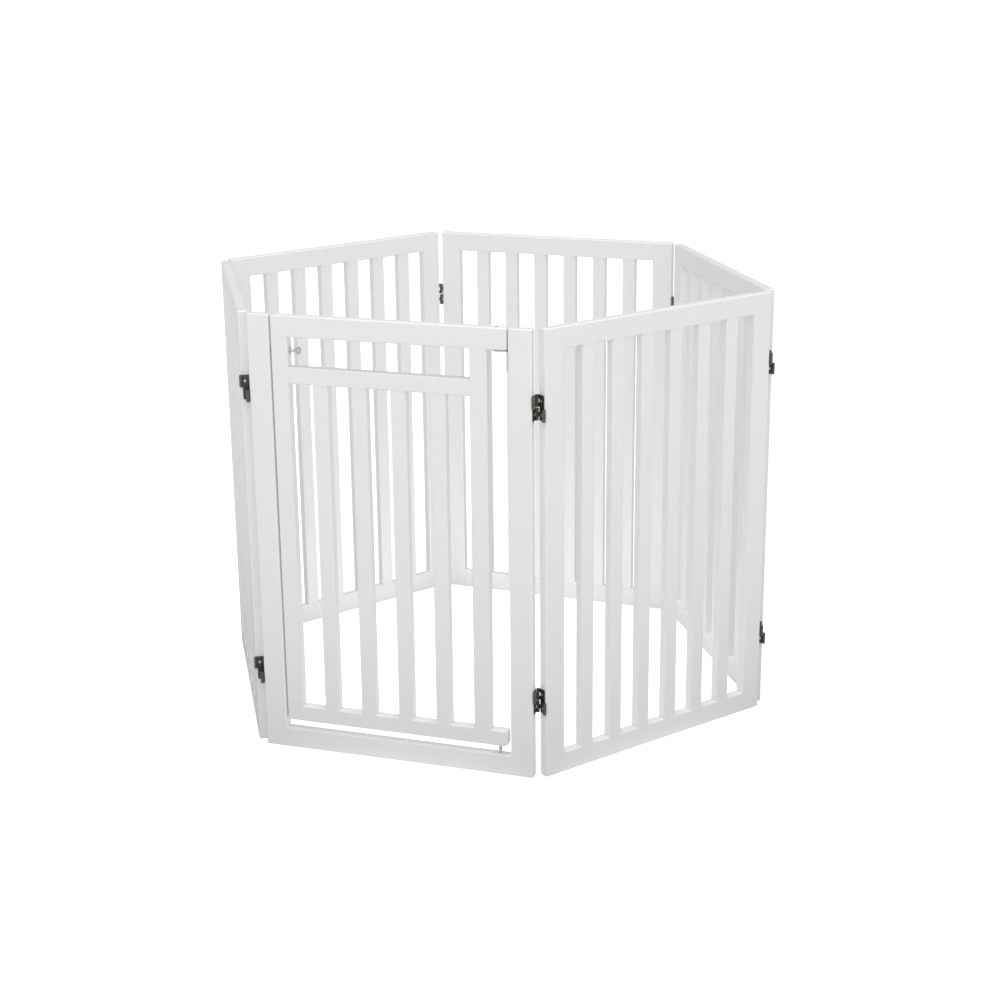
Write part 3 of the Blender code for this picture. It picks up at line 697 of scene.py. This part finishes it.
# ---- hinges --------------------------------------------------------------------------------
def hinge_side(loose_pin):
    """One side of a double-acting hinge, as in the CAD: a leaf, its link and their knuckles."""
    half = HINGE_HEIGHT / 2
    low = HALF_SPACE / 2
    back = -HINGE_GAP / 2 + PLAY
    front = back + LEAF
    knuckle = (half - low - 2 * KNUCKLE_SPACE) / 3
    mid_low = low + knuckle + KNUCKLE_SPACE
    mid_high = mid_low + knuckle
    reach = BARREL + KNUCKLE_SPACE
    outer, short = -THICKNESS, LEAF_SETBACK - THICKNESS
    inner = -0.0012
    outer_edge = [(short, half)] if loose_pin else [(short, low), (outer, low), (outer, half)]
    leaf = plate([*outer_edge, (-reach, half), (-reach, mid_high), (inner, mid_high),
                  (inner, mid_low), (-reach, mid_low), (-reach, -low), (inner, -low), (inner, -mid_low),
                  (-reach, -mid_low), (-reach, -mid_high), (inner, -mid_high), (inner, -half),
                  (short, -half)], back, front,
                 [((short, -half), 0.0025), ((-reach, half), 0.0008)], edge=0.0002)
    link_edge = outer + 0.0005 if loose_pin else outer
    link_end = -BARREL * 0.75
    link = plate([(link_edge, mid_low), (link_edge, mid_high), (link_end, mid_high),
                  (link_end, mid_low)], front + PLAY, front + PLAY + LINK - LEAF, edge=0.0002)
    seam, core = 0.0001, BARREL * 0.55           # core is the radius of a fixed pin
    parts = [leaf, link]
    if not loose_pin:
        for z0, z1 in ((low, mid_low - seam), (mid_low, mid_high), (mid_high + seam, half)):
            parts.append(rod(BARREL, z0, z1, at=(0, outer)))
        parts.append(rod(core, low + 0.0002, half + 0.0004, at=(0, outer)))
    bore = PIN_BORE if loose_pin else core + PLAY
    inner_knuckles = [(mid_low, mid_high), (-half, -mid_high - KNUCKLE_SPACE),
                      (-mid_low + KNUCKLE_SPACE, -low)]
    for z0, z1 in inner_knuckles:
        if loose_pin or z0 > 0:
            parts.append(lathe([(bore, z0), (BARREL - 0.0003, z0), (BARREL, z0 + 0.0003),
                                (BARREL, z1 - 0.0003), (BARREL - 0.0003, z1), (bore, z1)], 28))
        else:
            parts.append(rod(BARREL, z0, z1))
    if not loose_pin:
        parts.append(rod(core, -half - 0.0004, -low - 0.0002))
    return merged(*parts)


# the bodies on the two sides of each corner
OWNERS = {"12": ("front_frame", "panel_2"), "23": ("panel_2", "panel_3"),
          "34": ("panel_3", "panel_4"), "45": ("panel_4", "panel_5"),
          "56": ("panel_5", "panel_6"), "61": ("panel_6", "front_frame")}


def hinges():
    """Both sides of the two hinges at each corner, and every body's hinge screws."""
    pinned, loose = hinge_side(False), hinge_side(True)
    screw_places = {}
    turn_over = Matrix.Rotation(math.pi, 4, "Y")
    out = Matrix.Rotation(math.pi / 2, 4, "Y")
    leaf_face = -HINGE_GAP / 2 + PLAY + LEAF
    screw_spots = [
        Matrix.Translation((face + PLAY, -THICKNESS * depth, height)) @ out
        for depth, height, face in zip(HINGE_SCREW_DEPTHS, (-HINGE_SCREW_HEIGHT, HINGE_SCREW_HEIGHT),
                                       (leaf_face, leaf_face + LINK - LEAF))]
    for corner, owners in OWNERS.items():
        shape = loose if corner == "56" else pinned
        for side, body, number, x in (("a", owners[0], int(corner[0]), SIDE),
                                      ("b", owners[1], int(corner[1]), 0)):
            for level, z in HINGE_CENTRES.items():
                matrix = FRAMES[number] @ Matrix.Translation((x, 0, z))
                if side == "b":
                    matrix = matrix @ turn_over
                finish_piece(f"screen_hinge_{corner}_{level}_{side}", shape.copy(), "bronze_metal",
                             body, matrix, f"hinge_{corner}_{level}_{side}")
                screw_places.setdefault(body, []).extend(matrix @ spot for spot in screw_spots)
    for body, places in screw_places.items():
        screws(f"{body}_hinge_screws", body, places)
    pinned.free()
    loose.free()


def closing_pins():
    """The pins that lift out of the hinges where the ring closes, each with a flat head."""
    half = HINGE_HEIGHT / 2
    top = half + 0.0003
    r = BARREL
    for level, z in HINGE_CENTRES.items():
        outline = [(0, -half), (HINGE_PIN * 0.5, -half), (HINGE_PIN, -half + 0.0012),
                   (HINGE_PIN, top), (r - 0.0002, top), (r, top + 0.0003), (r, top + 0.0010),
                   (r * 0.9, top + 0.0014), (r * 0.6, top + 0.0018), (0, top + 0.0019)]
        node = f"closing_pin_{level}"
        finish_piece(f"lift_out_pin_{level}", lathe(outline, 32), "bronze_metal", node,
                     FRAMES[6] @ Matrix.Translation((0, 0, z)), node)


for panel_number in range(2, 7):
    plain_panel(panel_number)
door_frame()
door()
pivot_hardware()
hinges()
closing_pins()


# ---- studio --------------------------------------------------------------------------------
def studio():
    """A pale floor that glows evenly to the camera but sends up light with a painted shadow and glow, a
    soft sky, and two soft lamps.
    """
    bm = bmesh.new()
    bmesh.ops.create_grid(bm, x_segments=1, y_segments=1, size=90)
    mesh = bpy.data.meshes.new("floor")
    bm.to_mesh(mesh)
    bm.free()
    floor = bpy.data.objects.new("floor", mesh)
    bpy.context.scene.collection.objects.link(floor)
    floor.location.z = -0.0005
    n = Nodes("floor")
    place = n.add("ShaderNodeTexCoord").outputs["Object"]
    shade = n.mix(n.noise(place, 3, detail=2), (0.90, 0.90, 0.90), (0.93, 0.93, 0.93))
    n.put(n.shader.inputs["Base Color"], shade)
    n.shader.inputs["Roughness"].default_value = 0.8
    n.shader.inputs["Emission Color"].default_value = (1, 1, 1, 1)
    n.shader.inputs["Emission Strength"].default_value = 0.60
    # the floor is lit from below, like a light table, so the pen throws no shadow on it
    painted_bounce = n.add("ShaderNodeEmission")
    painted_bounce.inputs["Color"].default_value = (1.0, 1.0, 1.0, 1)
    around = n.add("ShaderNodeVectorMath", {"operation": "LENGTH"})
    n.put(around.inputs[0], place)
    distance = around.outputs["Value"]
    # painted shadow and glow: the light the floor sends up is weaker in a ring round the pen, a painted
    # shadow of the pen, and strong inside the pen, a painted glow on the inner faces
    painted_shadow_ring = n.ramp(distance, 0.55, 1.4, 0.42, 0.88)
    painted_glow_inside = n.ramp(distance, 0.35, 0.55, 0.85, 0.0)
    n.put(painted_bounce.inputs["Strength"], n.math("ADD", painted_shadow_ring, painted_glow_inside))
    seen = n.add("ShaderNodeLightPath").outputs["Is Camera Ray"]
    both = n.add("ShaderNodeMixShader")
    n.put(both.inputs["Fac"], seen)
    n.put(both.inputs[1], painted_bounce.outputs["Emission"])
    n.put(both.inputs[2], n.shader.outputs["BSDF"])
    n.put(n.tree.nodes["Material Output"].inputs["Surface"], both.outputs["Shader"])
    mesh.materials.append(n.material)

    world = bpy.data.worlds.new("studio")
    bpy.context.scene.world = world
    world.use_nodes = True
    back = world.node_tree.nodes["Background"]
    back.inputs["Color"].default_value = (0.985, 0.995, 1.0, 1.0)
    # brightest from the front right and above, darkest from the back left
    tree = world.node_tree
    way = tree.nodes.new("ShaderNodeTexCoord")
    facing = tree.nodes.new("ShaderNodeVectorMath")
    facing.operation = "DOT_PRODUCT"
    facing.inputs[1].default_value = (0.45, -0.65, 0.60)
    rise = tree.nodes.new("ShaderNodeMapRange")
    tree.links.new(way.outputs["Generated"], facing.inputs[0])
    tree.links.new(facing.outputs["Value"], rise.inputs["Value"])
    for key, number in zip(("From Min", "From Max", "To Min", "To Max"), (-0.5, 1.0, 0.22, 1.02)):
        rise.inputs[key].default_value = number
    # the camera itself sees a plain white sky behind the floor's far edge
    sight = tree.nodes.new("ShaderNodeLightPath")
    strength = tree.nodes.new("ShaderNodeMath")
    strength.operation = "MAXIMUM"
    tree.links.new(rise.outputs["Result"], strength.inputs[0])
    tree.links.new(sight.outputs["Is Camera Ray"], strength.inputs[1])
    tree.links.new(strength.outputs["Value"], back.inputs["Strength"])

    def area(name, place, aim, size, power, colour=(1, 1, 1)):
        data = bpy.data.lights.new(name, "AREA")
        data.shape = "DISK"
        data.size = size
        data.energy = power
        data.color = colour
        lamp = bpy.data.objects.new(name, data)
        bpy.context.scene.collection.objects.link(lamp)
        lamp.location = place
        lamp.rotation_euler = (Vector(aim) - Vector(place)).to_track_quat("-Z", "Y").to_euler()

    area("key", (0.3, -2.7, 3.3), (0, 0, 0.4), 1.8, 16, (1.0, 0.99, 0.975))
    area("overhead", (0.1, -0.2, 7.0), (0.1, -0.2, 0), 0.9, 105)
    bpy.context.scene.view_settings.view_transform = "Standard"
    bpy.context.scene.view_settings.look = "None"


CAMERA_SENSOR = 36.0
CAMERA_LENS = 66.29                         # both in millimetres
CAMERA_PLACE = (1.1051, -2.8013, 1.4298)    # from the foot of panel 1, at mid width
CAMERA_ANGLES = (17.947, 17.415, -0.574)    # yaw to the left, pitch down and roll, in degrees


def camera():
    """At the height and angle of a person looking down at the pen from the front right."""
    data = bpy.data.cameras.new("camera")
    data.sensor_width = CAMERA_SENSOR
    data.lens = CAMERA_LENS
    eye = bpy.data.objects.new("camera", data)
    bpy.context.scene.collection.objects.link(eye)
    middle = FRAMES[1] @ Vector((SIDE / 2, -THICKNESS, 0))
    yaw, pitch, roll = (math.radians(a) for a in CAMERA_ANGLES)
    forward = Vector((-math.sin(yaw) * math.cos(pitch), math.cos(yaw) * math.cos(pitch),
                      -math.sin(pitch)))
    right = Vector((math.cos(yaw), math.sin(yaw), 0))
    up = right.cross(forward)
    sideways = math.cos(roll) * right + math.sin(roll) * up
    above = -math.sin(roll) * right + math.cos(roll) * up
    turn = Matrix((sideways, above, -forward)).transposed().to_4x4()
    eye.matrix_world = Matrix.Translation(middle + Vector(CAMERA_PLACE)) @ turn
    bpy.context.scene.camera = eye


studio()
camera()
